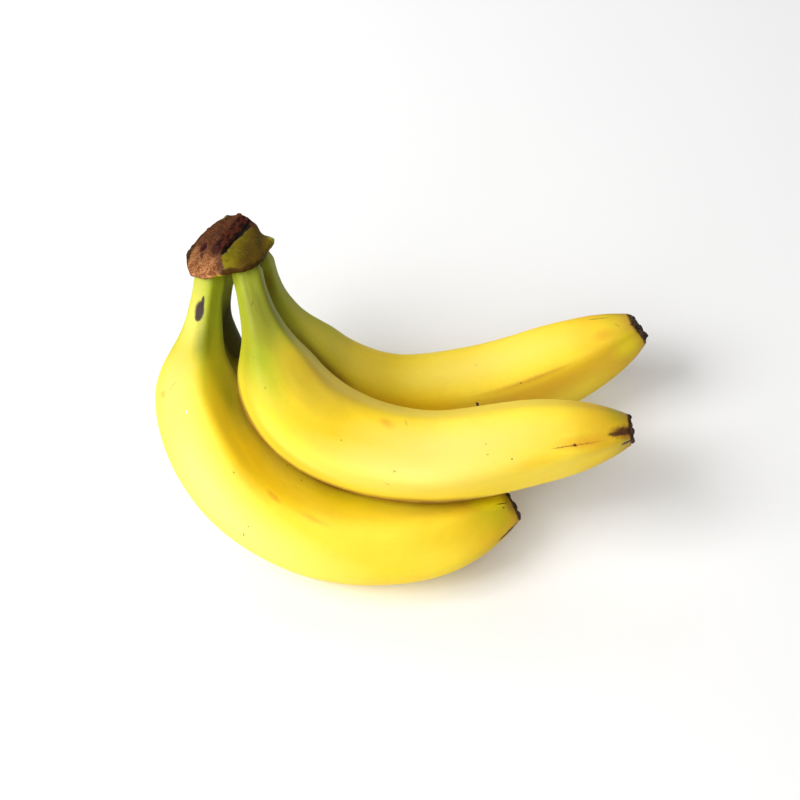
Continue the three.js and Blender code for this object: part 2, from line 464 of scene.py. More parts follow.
def banana_skin(finger):
    """The finger's skin, with where each vertex lies on the straightened finger."""
    tube = straight_tube(SKIN_SIDES, SKIN_RINGS)
    straight = tube.verts.layers.float_vector.new("straight")
    share_layer = tube.verts.layers.float.new("share")
    ridge_layer = tube.verts.layers.float.new("ridge")
    frames = {}
    for vertex in tube.verts:
        share = vertex.co.z
        key = round(share, 6)
        if key not in frames:
            frames[key] = finger.frame_at(share)
        place, direction, outward, sideways = frames[key]
        angle = math.atan2(vertex.co.y, vertex.co.x)
        reach = min(1.0, math.hypot(vertex.co.x, vertex.co.y))
        radius = skin_radius(finger, share, angle) + wander(finger, share, angle)
        radius *= NECK_TOP + (1 - NECK_TOP) * smooth_step(share, 0, HIDDEN_NECK)
        around = outward * math.cos(angle) + sideways * math.sin(angle)
        vertex.co = place + around * radius * reach + direction * slant(finger, share, angle, radius * reach)
        vertex.co.z = max(vertex.co.z, 0.0)
        from_ridge = angle - ridge_turn(finger, share)
        vertex[straight] = (radius * math.cos(angle), radius * math.sin(angle), share * finger.length)
        vertex[share_layer] = share
        vertex[ridge_layer] = max(0.0, math.cos(RIDGES * from_ridge)) ** RIDGE_SHARPNESS
    return finished(tube, "skin_" + finger.name)


skins = {finger.name: banana_skin(finger) for finger in FINGERS}
print("faces of each skin:", {name: len(skin.data.polygons) for name, skin in skins.items()})

# %% [markdown]
# ## Where the fingers touch
#
# Fingers that press on each other scuff, and dust settles in the crease between them. The crease is also
# in shade, and the finish paints that shade into the peel's colour along with the scuff. Painting it by hand
# would take a mask for every pair. Measuring is simpler: a search tree of each skin's faces gives the
# distance from any vertex to the nearest neighbour, and the skin keeps it as an attribute for its finish.

# %% Measure the distance to the neighbours
# For each skin: the neighbour that scuffs and shades it; how near that neighbour is, in millimetres, where
# the scuff and its painted shade are full and where they end; and the shares of the length between which
# they show.
SCUFF_SHADE_NEIGHBOURS = {"left": ("middle", 0.5, 3.5, 0.1, 1), "middle": ("left", 5.5, 10.5, 0.17, 1),
         "rear": ("middle", 5.5, 10.5, 0.02, 0.8), "under": ("left", 0.5, 3.5, 0.1, 1)}
SCUFF_SHADE_FADE = 0.06


def measure_scuff_shade(name):
    """Stores 1 where the skin is close to its neighbour, falling to 0 a few millimetres further off."""
    neighbour, close, far, start, stop = SCUFF_SHADE_NEIGHBOURS[name]
    mesh = skins[name].data
    other = skins[neighbour].data
    search = BVHTree.FromPolygons([v.co for v in other.vertices], [p.vertices[:] for p in other.polygons])
    # This attribute carries both the scuff and the painted shade in the crease.
    touch = mesh.attributes.new("touch", "FLOAT", "POINT")
    shares = mesh.attributes["share"].data
    for vertex, share, value in zip(mesh.vertices, shares, touch.data):
        distance = search.find_nearest(vertex.co, far * MM)[3]
        if distance is not None:
            nearness = 1 - smooth_step(distance, close * MM, far * MM)
            starting = smooth_step(share.value, start, start + SCUFF_SHADE_FADE)
            stopping = smooth_step(share.value, stop, stop + SCUFF_SHADE_FADE)
            value.value = nearness * starting * (1 - stopping)
    return sum(value.value > 0 for value in touch.data)


print("vertices near a neighbour:", {name: measure_scuff_shade(name) for name in skins})

# %% [markdown]
# ## The blossom ends
#
# Each finger ends in a hard, shrivelled disc: the base of the flower, with lobes, a central knob and a few
# curled scraps. Overlapping lumps are easy to place, and a voxel remesh then melts them into one closed
# skin, as a sculptor would smear lumps of clay together. Noise along the normals gives the dried surface
# its wrinkles.


# %% Melt, soften and move
def remeshed(piece, voxel):
    """The piece's shape rebuilt as one closed skin of small even faces."""
    modifier = piece.modifiers.new("one skin", "REMESH")
    modifier.mode = "VOXEL"
    modifier.voxel_size = voxel
    modifier.use_smooth_shade = True
    graph = bpy.context.evaluated_depsgraph_get()
    mesh = bpy.data.meshes.new_from_object(piece.evaluated_get(graph))
    piece.modifiers.clear()
    piece.data = mesh
    return piece


def soften(shape, verts, times):
    """Rounds the edges and corners among the vertices, a little more each time."""
    for _ in range(times):
        bmesh.ops.smooth_vert(shape, verts=verts, factor=0.5, use_axis_x=True, use_axis_y=True,
                              use_axis_z=True)
    shape.normal_update()


def lumpy(place, height, fineness):
    """Random lumps up to a height in millimetres, each about 1/fineness metres wide."""
    return height * MM * noise.noise(place * fineness)


def move_each(shape, moves, piece):
    """Moves each vertex of the shape by its own move, and gives the piece the result."""
    for vertex, move in zip(shape.verts, moves):
        vertex.co += move
    shape.to_mesh(piece.data)
    shape.free()
    piece.data.polygons.foreach_set("use_smooth", [True] * len(piece.data.polygons))


BLOSSOM_VOXEL = 0.22 * MM
print("a blossom end's faces will be about", round(BLOSSOM_VOXEL / MM, 2), "mm wide")

# %% Grow the disc
# The disc's side, from the skin upwards: height in millimetres, and share of its radius.
BLOSSOM_PROFILE = [(-0.4, 0.9), (0.2, 0.94), (0.7, 0.86), (1.0, 0.66), (1.1, 0.4)]
BLOSSOM_SIDES = 48
LOBE_DEPTH = 0.07
LOBE_NOISE = 0.05


def dried_disc(radius):
    """A circle grown ring by ring, with a lobe for each of the finger's ridges."""
    disc = bmesh.new()
    height, width = BLOSSOM_PROFILE[0]
    circle = bmesh.ops.create_circle(disc, cap_ends=True, segments=BLOSSOM_SIDES, radius=radius)
    bmesh.ops.translate(disc, verts=circle["verts"], vec=(0, 0, height * MM))
    bmesh.ops.scale(disc, verts=circle["verts"], vec=(width, width, 1))
    face = disc.faces[:][0]
    for next_height, next_width in BLOSSOM_PROFILE[1:]:
        grown = bmesh.ops.extrude_face_region(disc, geom=[face])["geom"]
        ring = [part for part in grown if isinstance(part, bmesh.types.BMVert)]
        face = [part for part in grown if isinstance(part, bmesh.types.BMFace)][0]
        ratio = next_width / width
        bmesh.ops.scale(disc, verts=ring, vec=(ratio, ratio, 1))
        bmesh.ops.translate(disc, verts=ring, vec=(0, 0, (next_height - height) * MM))
        height, width = next_height, next_width
    for vertex in disc.verts:
        angle = math.atan2(vertex.co.y, vertex.co.x)
        lobe = 1 + LOBE_DEPTH * math.cos(RIDGES * angle) + LOBE_NOISE * noise.noise(vertex.co * 400)
        vertex.co.x *= lobe
        vertex.co.y *= lobe
    return disc


END_RADIUS = GIRTH[-1][1]
end_widths = {f.name: round(2 * END_RADIUS * finger_girth(f, 1) / MM, 1) for f in FINGERS}
print("width of each disc, mm:", end_widths)

# %% Add the lumps and scraps
# Each lump's angle round the disc, share of the radius out, height, then half lengths out, across and up.
LUMPS = {
    "left": [(0, 0, 1.1, 1.9, 1.6, 0.9), (180, 0.8, 0.6, 1.1, 1.7, 0.8), (300, 0.8, 0.7, 1.2, 1.3, 0.8),
             (20, 0.8, 0.8, 1.2, 1.1, 1.0)],
    "middle": [(300, 0.3, 1.1, 1.5, 1.3, 1.1), (180, 0.82, 0.6, 1.1, 1.3, 1.1),
               (355, 0.82, 0.6, 1.1, 1.2, 1.1), (240, 0.7, 0.6, 1.2, 1.1, 0.7)],
    "rear": [(190, 0.88, 0.3, 1.0, 1.3, 1.1), (235, 0.6, 0.9, 1.4, 1.5, 0.8), (320, 0.6, 1.3, 1.5, 1.3, 1.1),
             (0, 0.2, 0.9, 1.5, 1.5, 0.9)],
    "under": [(0, 0.1, 1.2, 1.5, 1.4, 0.9), (210, 0.8, 0.8, 1.0, 1.0, 0.8), (156, 0.95, 1.4, 1.4, 1.0, 0.9),
              (156, 1.25, 2.2, 1.1, 0.8, 0.7), (156, 1.5, 3.0, 0.9, 0.6, 0.6)],
}
# Small scraps round the rim are drawn at random, each value of a lump from its own range.
SCRAPS = 13
SCRAP_RANGES = [(0, 360), (0.7, 0.95), (0.1, 0.9), (0.4, 1.1), (0.5, 1.3), (0.4, 0.9)]


def add_lumps(shape, radius, name):
    """Adds a finger's lumps and its scraps to its disc."""
    chance = random.Random(name)
    scraps = [[chance.uniform(low, high) for low, high in SCRAP_RANGES] for _ in range(SCRAPS)]
    for angle, out, up, long, wide, thick in [*LUMPS[name], *scraps]:
        spot = Matrix.Rotation(math.radians(angle), 4, "Z") @ Matrix.Translation((out * radius, 0, up * MM))
        size = Matrix.Diagonal((long * MM, wide * MM, thick * MM, 1))
        bmesh.ops.create_icosphere(shape, subdivisions=3, radius=1, matrix=spot @ size)


print("lumps on each disc:", {name: len(lumps) + SCRAPS for name, lumps in LUMPS.items()})


# %% Shape the blossom ends
def blossom_end(finger):
    """The dried remains of the flower, standing on the end of the finger."""
    place, direction, outward, sideways = finger.frame_at(1)
    stand = Matrix.Translation(place) @ Matrix((outward, sideways, direction)).transposed().to_4x4()
    radius = END_RADIUS * finger_girth(finger, 1)
    shape = dried_disc(radius)
    add_lumps(shape, radius, finger.name)
    for vertex in shape.verts:
        angle = math.atan2(vertex.co.y, vertex.co.x)
        vertex.co.z += slant(finger, 1, angle, math.hypot(vertex.co.x, vertex.co.y))
    bmesh.ops.transform(shape, matrix=stand, verts=shape.verts)
    piece = remeshed(finished(shape, "dried_flower_" + finger.name), BLOSSOM_VOXEL)
    wrinkled = bmesh.new()
    wrinkled.from_mesh(piece.data)
    soften(wrinkled, wrinkled.verts, 1)
    moves = []
    for vertex in wrinkled.verts:
        folds = lumpy(vertex.co, 0.28, 700)
        crumbs = lumpy(vertex.co, 0.12, 1900)
        moves.append(vertex.normal * (folds + crumbs))
    move_each(wrinkled, moves, piece)
    return piece


flowers = {finger.name: blossom_end(finger) for finger in FINGERS}
print("faces of each blossom end:", {name: len(flower.data.polygons) for name, flower in flowers.items()})

# %% [markdown]
# ## The crown
#
# The crown is the cushion of rind that the necks grew from. A knife took it off the stalk, so it has a
# fibrous tan cut on the left that darkens to a sunken red-brown strip along the top, and a bruised rind
# that faces the viewer, with a deep crease between them. The part's own crown is the right size, so a copy
# of it is rebuilt in small even faces, with stubs of torn fibres along its top edge.

# %% Rebuild the crown in small faces
CROWN_VOXEL = 0.4 * MM
MERGE_DISTANCE = 0.001 * MM
# Each stub's middle and radius in millimetres.
FIBRE_STUBS = [((-67.5, 58.6, 98.6), 1.3), ((-72.3, 58.8, 97.4), 1.2), ((-64.2, 55.5, 100.2), 1.0)]


def crown_blank():
    """A copy of the part's crown with its stubs, in small even faces."""
    plain = bmesh.new()
    plain.from_mesh(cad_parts["crown"].data)
    bmesh.ops.remove_doubles(plain, verts=plain.verts, dist=MERGE_DISTANCE)
    for middle, radius in FIBRE_STUBS:
        spot = Matrix.Translation(Vector(middle) * MM)
        bmesh.ops.create_icosphere(plain, subdivisions=3, radius=radius * MM, matrix=spot)
    return remeshed(finished(plain, "crown_cushion"), CROWN_VOXEL)


crown = crown_blank()
print("faces of the crown:", len(crown.data.polygons))

# %% [markdown]
# The crown is then shaped by region: the cut, the crease, the dried rim below, the bruise at the foot of the
# cut, the edge of skin on the left and the sunken strip. A vertex belongs to one by which side of the crease
# it is on, which way it faces, or how near one of the crown's edges it is. Each region is kept as an
# attribute, so that the shape and the finish agree.


# %% Name the crown's edges
def in_metres(*corners):
    """Corners given in millimetres as vectors in metres."""
    return [Vector(corner) * MM for corner in corners]


CUT_FOOT, CREASE_START, CREASE_END = in_metres((-70.3, 21, 107), (-71.8, 27.5, 110.5), (-62.0, 54.5, 101))
CUT_BOTTOM, CUT_TOP = in_metres((-78.5, 21, 104), (-67, 59, 98))
LOWER_EDGE = in_metres((-71, 20.8, 106.6), (-61.5, 22.6, 107), (-57, 28, 104.6), (-53, 45.5, 98.2))
LEFT_EDGE = in_metres((-84.5, 41, 98.5), (-87.6, 36, 97), (-87.8, 31, 97.6), (-86.4, 26.5, 98.5),
                      (-83, 22.5, 100))
UP_THE_CUT = CUT_TOP - CUT_BOTTOM
# The way the cut face looks.
KNIFE_FACING = Vector((-0.25, -0.5, 0.83)).normalized()

# The crease lies in a plane. This points out of the plane on the side where the cut is.
crease_side = (CREASE_START - CUT_FOOT).cross(CREASE_END - CUT_FOOT).normalized()
if crease_side.dot(CUT_BOTTOM - CUT_FOOT) < 0:
    crease_side.negate()


def distance_to_line(point, *corners):
    """Distance from a point to a chain of straight pieces."""
    nearest = []
    for start, end in zip(corners, corners[1:]):
        _, part = intersect_point_line(point, start, end)
        nearest.append((point - start.lerp(end, min(max(part, 0.0), 1.0))).length)
    return min(nearest)


print("the crease is", round(distance_to_line(CUT_TOP, CREASE_START, CREASE_END) / MM, 1), "mm from the top")

# %% Tell the crown's regions apart
REGIONS = ("cut", "crease", "rim", "along", "bruise", "skin_edge", "sunken")
# How much of the surface faces the knife where the cut starts and where it is whole.
CUT_FACING = (0.3, 0.42)
# The crease in millimetres: its width at its foot, how much wider it gets, and how much the width wavers.
# The shares of the way up the cut say where it widens.
CREASE_WIDTHS = (1.3, 2.1, 1.2)
CREASE_WIDENS = (0.35, 0.95)
# How far from its line each region is whole and how far off it ends, in millimetres.
SIDE_BLUR = 0.3
RIM_SPREAD = (0.4, 2.0)
BRUISE_SPREAD = (1.6, 4.2)
SKIN_EDGE_SPREAD = (0.8, 1.7)
SUNKEN_SPREAD = (2.5, 7.5)


def near(distance, spread):
    """1 where a distance is inside a spread, 0 where it is outside, and smooth between them."""
    whole, ended = spread
    return 1 - smooth_step(distance, whole * MM, ended * MM)


def crown_regions(here, normal):
    """How far a point belongs to each region, and to the knife's side of the crease."""
    ripple = lumpy(here, 0.5, 350)
    facing = normal.dot(KNIFE_FACING) + 0.12 * noise.noise(here * 400)
    side = smooth_step(crease_side.dot(here - CUT_FOOT) + ripple, -SIDE_BLUR * MM, SIDE_BLUR * MM)
    along = (here - CUT_BOTTOM).dot(UP_THE_CUT) / UP_THE_CUT.length_squared
    at_foot, widening, wavering = CREASE_WIDTHS
    width = at_foot + widening * smooth_step(along, *CREASE_WIDENS) + wavering * noise.noise(here * 330)
    cut = smooth_step(facing, *CUT_FACING) * side
    crease = 1 - smooth_step(distance_to_line(here, CREASE_START, CREASE_END), 0, width * MM)
    rim = near(distance_to_line(here, *LOWER_EDGE) + 2 * ripple, RIM_SPREAD)
    bruise = near(distance_to_line(here, CUT_FOOT, CREASE_START) + ripple, BRUISE_SPREAD) * side
    skin_edge = near(distance_to_line(here, *LEFT_EDGE) + ripple, SKIN_EDGE_SPREAD)
    sunken = near(distance_to_line(here, CUT_FOOT, CREASE_START, CREASE_END) + 3 * ripple, SUNKEN_SPREAD)
    return (cut, crease, rim, along, bruise, skin_edge, sunken), side


print("regions of the crown:", ", ".join(REGIONS))

# %% Sculpt the crown
CROWN_ROUNDING = 4
RIND_ROUNDING = 45
RIND_FACING = 0.2
RIM_HEIGHT = 0.25
CREASE_SINK = 1.2
# Beyond the crease the surface sinks by only this share.
FAR_SIDE = 0.4


def relief(here, cut, crease, rim, side):
    """How far the surface stands out: torn on the cut, wavy on the rind, sunk at the crease."""
    fibres = lumpy(here, 0.5, 260) + lumpy(here, 0.35, 620)
    crumbs = lumpy(here, 0.16, 1500)
    waves = lumpy(here, 0.45, 140) + lumpy(here, 0.1, 700)
    height = (fibres + crumbs) * cut + waves * (1 - cut)
    height += rim * (RIM_HEIGHT * MM + lumpy(here, 0.4, 420))
    height -= crease * (FAR_SIDE + (1 - FAR_SIDE) * side) * CREASE_SINK * MM
    return height


def is_rind(vertex):
    """Whether a vertex lies beyond the crease or faces away from the knife."""
    return crease_side.dot(vertex.co - CUT_FOOT) < 0 or vertex.normal.dot(KNIFE_FACING) < RIND_FACING


shape = bmesh.new()
shape.from_mesh(crown.data)
soften(shape, shape.verts, CROWN_ROUNDING)
rind = [vertex for vertex in shape.verts if is_rind(vertex)]
soften(shape, rind, RIND_ROUNDING)
layers = [shape.verts.layers.float.new(name) for name in REGIONS]
moves = []
for vertex in shape.verts:
    regions, side = crown_regions(vertex.co, vertex.normal)
    for layer, region in zip(layers, regions):
        vertex[layer] = region
    cut, crease, rim = regions[:3]
    moves.append(vertex.normal * relief(vertex.co, cut, crease, rim, side))
rind_share = len(rind) / len(moves)
move_each(shape, moves, crown)
print("share of the crown that is rind:", round(rind_share, 2))

# %% [markdown]
# ## Peel
#
# Ripe peel is a deep yellow that drifts between warm and pale. It stays green at the neck, turns golden with
# some green in it before the blossom end, and is worn to orange-brown along the ridges. Fine fibres run
# along it and small freckles dot it. The whole recipe is one node group, fed by the attributes of the skin,
# and each banana's material places it with its own values. The group puts out a colour, a roughness and a
# height for the bump.

# %% Start the peel group with its yellow
WARM_YELLOW = paint(240, 204, 22)
PALE_YELLOW = paint(248, 218, 56)
PEEL_INPUTS = {"Place": "Vector", "Share": "Float", "Ridge": "Float", "Touch": "Float",
               "Green Reach": "Float", "Scuff": "Color"}
PEEL_OUTPUTS = {"Color": "Color", "Roughness": "Float", "Height": "Float"}

PEEL, given, result = group("ripe peel", PEEL_INPUTS, PEEL_OUTPUTS)
place = given["Place"]
share = given["Share"]
drift = rise(PEEL, grain(PEEL, place, 28.0, 2.0, stretch=(1, 1, 0.5)), 0.35, 0.65)
fibres = grain(PEEL, place, 900.0, 3.0, stretch=(1, 1, 0.04))
mottle = grain(PEEL, place, 260.0, 4.0)
pores = grain(PEEL, place, 1500.0, 2.0)
colour = blend(PEEL, drift, WARM_YELLOW, PALE_YELLOW)
print("a peel is told its", ", ".join(PEEL_INPUTS))

# %% Add the green neck
# The green reaches further along the ridges, and its border is ragged.
NECK_GREEN = paint(158, 166, 28)
RAGGED_SHARE = 0.12
RIDGE_REACH = 0.04
# The shares of its reach where the green ends and where it is full.
GREEN_FADE = (1.0, 0.25)

ragged = grain(PEEL, place, 60.0, 2.0, stretch=(1, 1, 0.25))
ragged = calculate(PEEL, "MULTIPLY_ADD", ragged, RAGGED_SHARE, -RAGGED_SHARE / 2)
neck_share = calculate(PEEL, "ADD", share, ragged)
reach = calculate(PEEL, "MULTIPLY_ADD", given["Ridge"], RIDGE_REACH, given["Green Reach"])
green = rise(PEEL, calculate(PEEL, "DIVIDE", neck_share, reach), *GREEN_FADE)
colour = blend(PEEL, green, colour, NECK_GREEN)
print("nodes after the green neck:", len(PEEL.nodes))

# %% Add the golden end and its dark edge
SHOULDER_GOLD = paint(214, 160, 16)
END_GREEN = paint(156, 152, 14)
END_TAN = paint(176, 128, 40)
END_EDGE = paint(74, 46, 24)
# The shares of the length where each colour starts and where it is full. The edge's are past the end,
# because the crumbs that make it ragged are added to the share.
GOLD_SHARES = (0.85, 0.96)
GREEN_SHARES = (0.93, 0.985)
TAN_SHARES = (0.972, 1.0)
EDGE_SHARES = (1.003, 1.009)
EDGE_CRUMBS = 0.014

end_share = calculate(PEEL, "ADD", share, multiply(PEEL, ragged, 0.25))
colour = stain(PEEL, colour, rise(PEEL, end_share, *GOLD_SHARES), 0.6, SHOULDER_GOLD)
end_green = multiply(PEEL, rise(PEEL, end_share, *GREEN_SHARES), rise(PEEL, drift, 0.7, 0.2))
colour = stain(PEEL, colour, end_green, 0.7, END_GREEN)
crumbs = grain(PEEL, place, 500.0, 3.0, stretch=(1, 1, 0.3))
colour = stain(PEEL, colour, rise(PEEL, end_share, *TAN_SHARES), 0.6, END_TAN)
edge_share = calculate(PEEL, "MULTIPLY_ADD", crumbs, EDGE_CRUMBS, share)
dark_edge = rise(PEEL, edge_share, *EDGE_SHARES)
colour = blend(PEEL, dark_edge, colour, END_EDGE)
print("nodes after the end:", len(PEEL.nodes))

# %% Wear the ridges, and scuff and shade the creases
# Ridges rub and turn orange-brown in places. In the creases between fingers dust settles and the peel is
# scuffed, and the same brown also stands in for the shade there, as painted shade.
WORN_RIDGE = paint(214, 150, 34)

worn = rise(PEEL, grain(PEEL, place, 70.0, 3.0, stretch=(1, 1, 0.3)), 0.52, 0.7)
past_neck = rise(PEEL, share, 0.3, 0.4)
worn = multiply(PEEL, worn, multiply(PEEL, given["Ridge"], past_neck))
colour = stain(PEEL, colour, worn, 0.22, WORN_RIDGE)
# Scuff and painted shade: brown laid where a neighbour is near, broken up by crumbs.
ragged_scuff_shade = calculate(PEEL, "ADD", crumbs, 0.5)
scuff_and_shade = calculate(PEEL, "MULTIPLY", given["Touch"], ragged_scuff_shade, clamp=True)
colour = stain(PEEL, colour, scuff_and_shade, 0.85, given["Scuff"])
print("nodes after the scuffs:", len(PEEL.nodes))

# %% Dot the peel with freckles
# The skin is split into cells, and some of the cells have one small dot each.
FRECKLE = paint(104, 74, 24)

cells = add(PEEL, "TexVoronoi", {"Vector": place, "Scale": 110.0, "Randomness": 1.0})
chosen = add(PEEL, "SeparateColor", {"Color": cells.outputs["Color"]}).outputs[0]
dot = rise(PEEL, cells.outputs["Distance"], 0.055, 0.03)
freckle = multiply(PEEL, dot, rise(PEEL, chosen, 0.8, 0.84))
colour = stain(PEEL, colour, freckle, 0.7, FRECKLE)
print("nodes after the freckles:", len(PEEL.nodes))

# %% Shade the peel and give it a surface
# Fine fibres and mottling change the brightness a little. Fibres, pores and freckles make the bump.
shade = calculate(PEEL, "MULTIPLY_ADD", fibres, 0.08, 0.96)
mottled = calculate(PEEL, "ADD", multiply(PEEL, mottle, 0.1), 0.95)
shade = multiply(PEEL, shade, mottled)
grey = add(PEEL, "CombineColor", {"Red": shade, "Green": shade, "Blue": shade}).outputs[0]
colour = blend(PEEL, 1.0, colour, grey, "MULTIPLY")

dull = calculate(PEEL, "MAXIMUM", dark_edge, given["Touch"])
rough = calculate(PEEL, "MULTIPLY_ADD", mottle, 0.16, 0.52)
rough = calculate(PEEL, "ADD", rough, multiply(PEEL, dull, 0.35))
height = calculate(PEEL, "ADD", multiply(PEEL, fibres, 0.25), multiply(PEEL, pores, 0.25))
height = calculate(PEEL, "SUBTRACT", height, multiply(PEEL, freckle, 0.6))
feed(PEEL, result, {"Color": colour, "Roughness": rough, "Height": height})
print("peel group has", len(PEEL.nodes), "nodes")

# %% [markdown]
# Each banana's marks are a list. Some are blemishes, and many of the wide, soft ones are painted light and
# shade, which give the flats their pale sheen and their shaded tones. Each entry gives what the mark is, its
# share of the length and angle, its half length and half width in millimetres, how far it is turned from
# lying along the banana, its colour, how strong it is, how ragged, and how sharp its edge.

# %% List the left banana's blemishes and painted light and shade
Mark = namedtuple("Mark", "name share degrees half_length half_width turn colour strength ragged sharpness")
BROWN = paint(96, 62, 20)
DARK = paint(52, 34, 16)
ORANGE = paint(214, 140, 20)
GREY_PURPLE = paint(36, 22, 20)
OLIVE = paint(150, 130, 30)
WHITE = paint(255, 250, 215)
# A pale, bluish yellow used as painted sheen where the lit flats catch the lamps.
PAINTED_SHEEN = paint(250, 229, 122)
MARKS = {}
MARKS["left"] = [
    # Painted sheen: a pale patch standing in for the gloss of the lit neck.
    ("pale neck", 0.110, 306, 26.0, 6.0, 0, paint(228, 214, 96), 0.6, 2.0, 1.2),
    # Painted light: lifts the inner flat where the middle finger's shade falls.
    ("bright inner flat", 0.660, 192, 46.0, 12.0, 0, paint(255, 226, 10), 0.85, 2.0, 1.2),
    # Painted sheen on the flank that faces the key lamp.
    ("pale flank", 0.430, 302, 66.0, 16.0, 0, PAINTED_SHEEN, 0.8, 2.0, 1.2),
    # Painted sheen: the creamy tone of the lit shoulder.
    ("creamy shoulder", 0.235, 302, 26.0, 10.0, 0, paint(222, 188, 92), 0.6, 2.0, 1.2),
    # Painted shade on the green neck's edge beside the ridge, which faces away from the lamps.
    ("green neck's edge", 0.145, 262, 17.0, 4.5, 0, paint(110, 112, 6), 0.6, 1.5, 1.3),
    ("shaded side of the ridge", 0.305, 247, 32.0, 4.2, -3, paint(186, 156, 6), 0.55, 1.5, 1.3),
    # Painted shade on the green inner flat, which faces away from the lamps.
    ("green inner flat", 0.270, 222, 26.0, 8.0, 0, paint(140, 140, 8), 0.7, 1.5, 1.2),
    ("green end", 0.955, 250, 15.0, 10.0, 0, paint(204, 196, 6), 0.6, 2.0, 1.1),
    # The end's lime colour, painted brighter as painted light in the shade that the middle finger casts.
    ("lime end", 0.964, 217, 11.0, 6.0, 0, paint(255, 236, 0), 0.9, 1.5, 1.5),
    ("brown end", 0.996, 245, 2.6, 6.0, 0, paint(116, 84, 18), 0.6, 2.0, 1.5),
    ("bruise's rim", 0.089, 287, 5.2, 2.3, 0, paint(88, 46, 12), 0.85, 0.6, 2.5),
    ("leaf-shaped bruise", 0.088, 284, 4.8, 1.9, 0, GREY_PURPLE, 0.95, 0.4, 4),
    ("bruise's point", 0.069, 277.5, 3.2, 0.8, 0, paint(40, 20, 8), 0.95, 0.3, 4),
    ("bruise's foot", 0.104, 289, 1.8, 1.4, 0, paint(40, 20, 8), 0.9, 0.5, 3),
    ("smudge", 0.243, 318, 1.8, 1.4, 0, ORANGE, 0.5, 1.0, 1.5),
    ("upper scratch", 0.228, 302, 1.6, 0.2, 50, OLIVE, 0.5, 0.3, 3),
    ("lower scratch", 0.236, 306, 1.2, 0.2, 50, OLIVE, 0.5, 0.3, 3),
    ("wax spot", 0.276, 284.5, 0.8, 0.6, 0, WHITE, 0.8, 0.3, 2),
    ("dot on the ridge", 0.417, 259, 0.5, 0.35, 30, BROWN, 0.8, 0.3, 3),
    ("inner dot", 0.540, 193.5, 0.6, 0.3, 40, DARK, 0.8, 0.3, 3),
    ("outer dot", 0.506, 293, 0.4, 0.35, 0, BROWN, 0.8, 0.3, 3),
    ("outer dash", 0.508, 305, 0.9, 0.3, 50, BROWN, 0.8, 0.3, 3),
    ("worn ridge", 0.510, 244, 5.5, 1.4, 4, ORANGE, 0.55, 1.0, 1.5),
    ("rubbed ridge", 0.600, 242, 9.0, 1.6, 2, ORANGE, 0.35, 1.0, 1.2),
    ("crack at the end", 0.983, 238, 2.6, 0.3, 6, DARK, 0.9, 0.5, 3),
    ("dot at the end", 0.982, 249, 0.5, 0.4, 0, DARK, 0.9, 0.3, 3),
    ("dark lower edge", 0.970, 310, 7.5, 0.9, 2, DARK, 0.95, 1.0, 3),
]
print("blemishes of the left banana:", len(MARKS["left"]))

